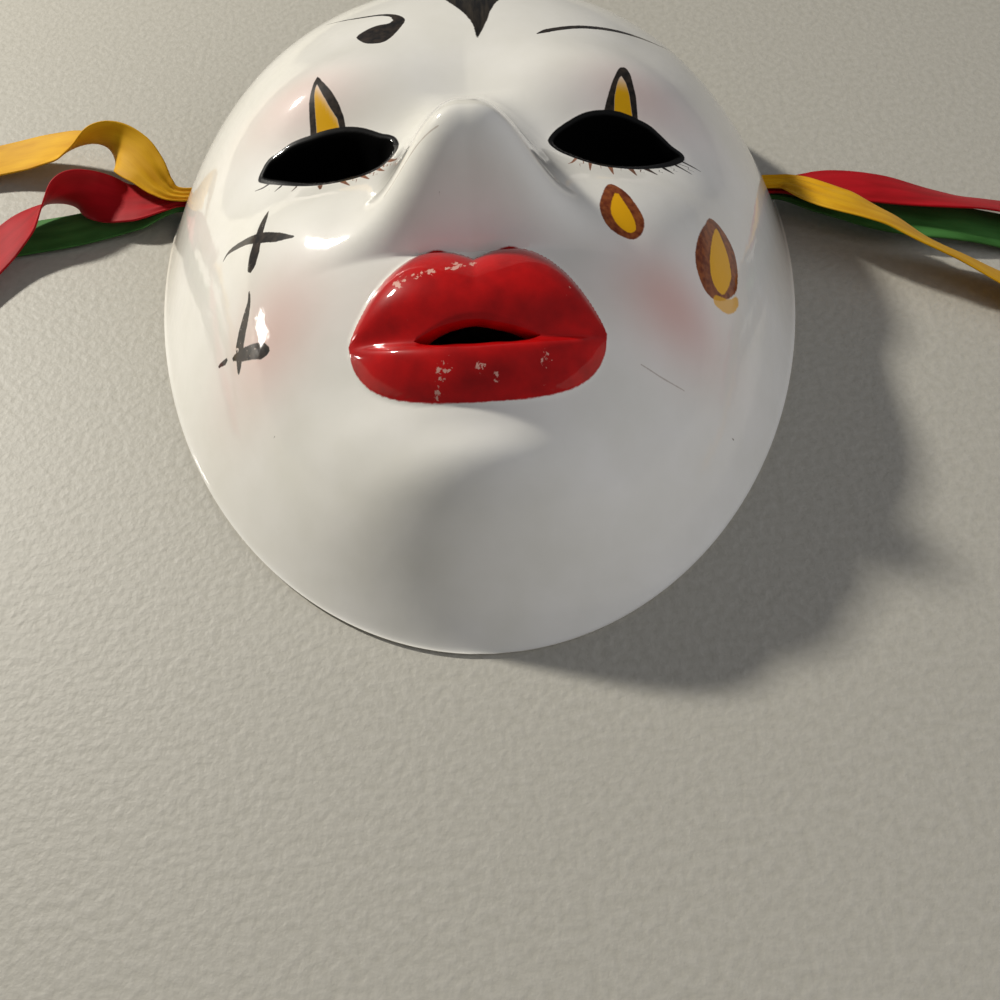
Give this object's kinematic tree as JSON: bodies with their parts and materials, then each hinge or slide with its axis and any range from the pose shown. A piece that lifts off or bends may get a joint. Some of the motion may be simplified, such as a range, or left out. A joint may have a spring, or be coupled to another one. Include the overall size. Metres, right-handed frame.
{
  "type": "clown mask",
  "caption": "Hollow glazed ceramic clown mask with a raised nose, full parted lips and closed eye hollows, lying on its rim with satin ribbons through a hole at each temple.",
  "frame": {"origin": "middle of the mask on the plane of its rim, midway between the chin and the crown and between the two sides", "axes": "+Z out of the face, +Y from the chin to the crown, +X to the right-hand side of the face as one looks at it"},
  "size_m": [0.3763, 0.183, 0.0688],
  "materials": {
    "glazed_ceramic": "clear gloss glaze over white slip-cast earthenware, with hand-painted black, red, yellow and brown",
    "yellow_satin": "satin ribbon",
    "red_satin": "satin ribbon",
    "green_satin": "satin ribbon"
  },
  "bodies": {
    "root": {"mask_shell": "glazed_ceramic", "ribbon_yellow_right": "yellow_satin", "ribbon_red_right": "red_satin", "ribbon_green_right": "green_satin", "ribbon_yellow_left": "yellow_satin", "ribbon_red_left": "red_satin", "ribbon_green_left": "green_satin"}
  },
  "joints": []
}
